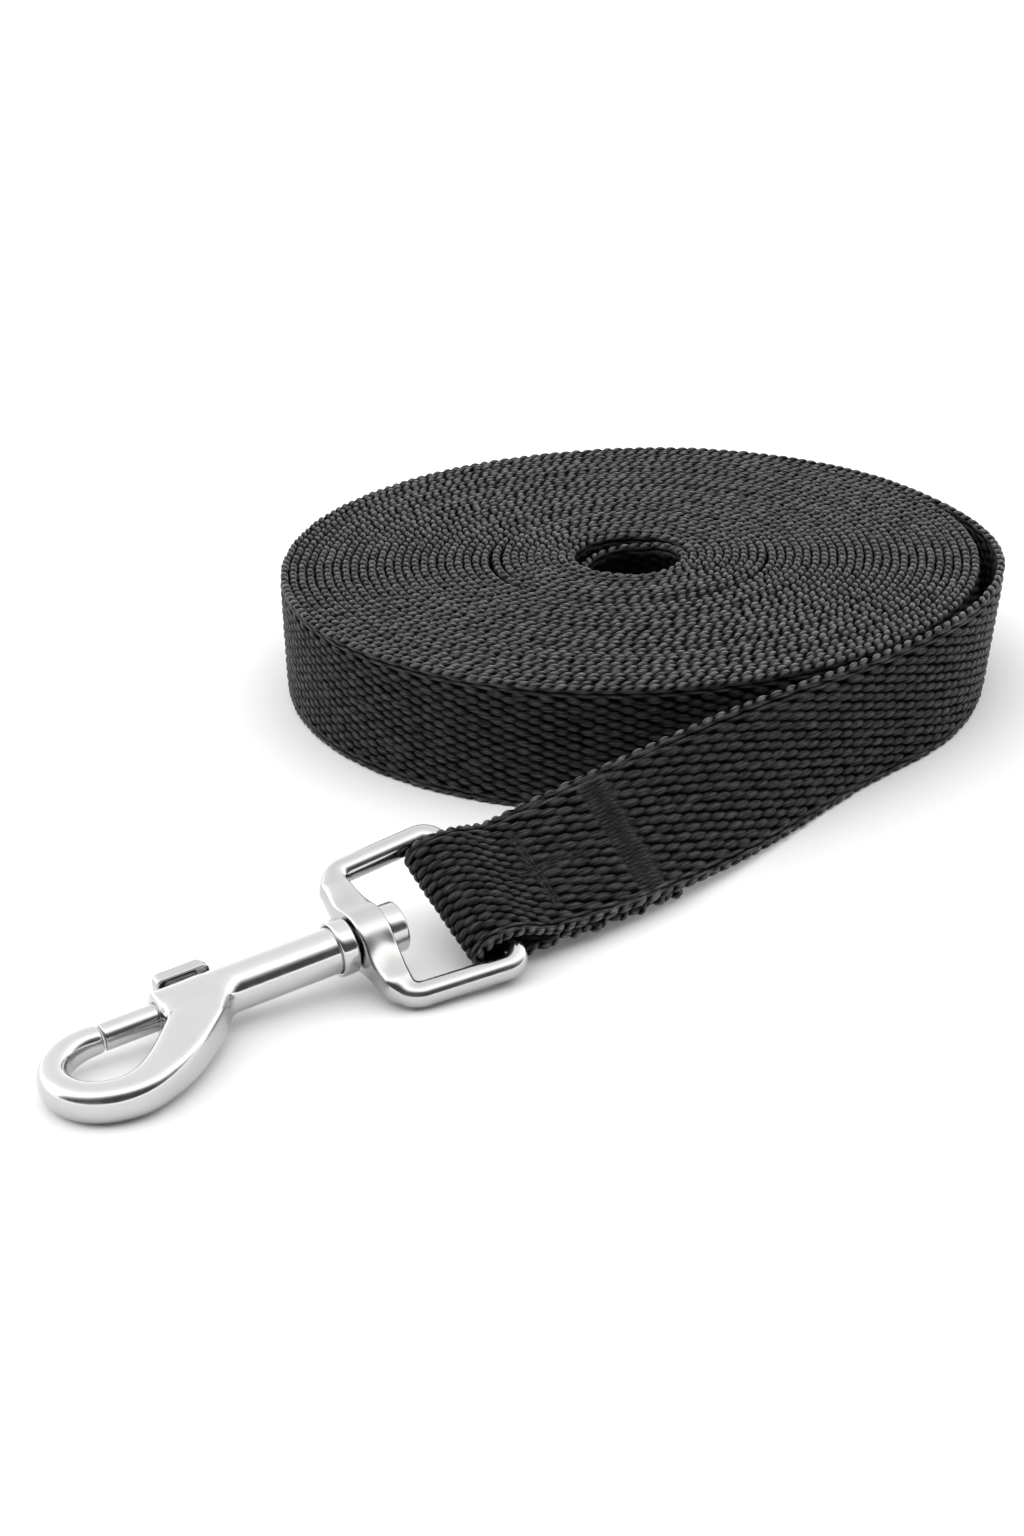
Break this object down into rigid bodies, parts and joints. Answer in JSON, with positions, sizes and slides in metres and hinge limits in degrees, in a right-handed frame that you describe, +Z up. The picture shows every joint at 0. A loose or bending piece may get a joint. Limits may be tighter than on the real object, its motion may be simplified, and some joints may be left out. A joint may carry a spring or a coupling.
{
  "type": "training leash",
  "caption": "Long flat-webbing training line wound into a flat coil, with a sewn end fold holding a metal swivel bolt snap.",
  "frame": {"origin": "middle of the footprint, on the surface that the leash lies on", "axes": "+Z up, along the coil's axis; +Y from the snap's side towards the coil's side; +X to the right with the snap at the front left"},
  "size_m": [0.1705, 0.2408, 0.0251],
  "materials": {
    "webbing": "woven, matte with a slight filament sheen",
    "thread": "bonded sewing thread",
    "plated_metal": "bright nickel plate over a die casting, softly polished",
    "spring_steel": "plain drawn wire"
  },
  "bodies": {
    "webbing": {"webbing_coil": "webbing", "handle_loop": "webbing", "handle_bartack": "thread", "webbing_lead": "webbing", "webbing_eye_loop": "webbing", "snap_bartack": "thread", "snap_box_stitch": "thread"},
    "eye": {"swivel_eye": "plated_metal"},
    "snap": {"snap_body": "plated_metal", "swivel_stud": "plated_metal", "barrel_collar": "plated_metal", "bolt_spring": "spring_steel"},
    "bolt": {"bolt": "plated_metal", "thumb_stud": "plated_metal"}
  },
  "joints": [
    {"name": "eye_hinge", "type": "hinge", "parent": "webbing", "child": "eye", "pos_m": [-0.01977, -0.06863, 0.00928], "axis": [-0.4758, 0.7763, 0.4135], "range_deg": [-60, 110]},
    {"name": "swivel_spin", "type": "hinge", "parent": "eye", "child": "snap", "pos_m": [-0.0373, -0.07855, 0.00773], "axis": [-0.8678, -0.491, -0.0767], "continuous": true},
    {"name": "bolt_slide", "type": "slide", "parent": "snap", "child": "bolt", "axis": [0.8678, 0.491, 0.0767], "range_m": [0, 0.008], "stiffness_N_per_m": 300, "springref_m": -0.005, "deforming": ["bolt_spring"]}
  ]
}
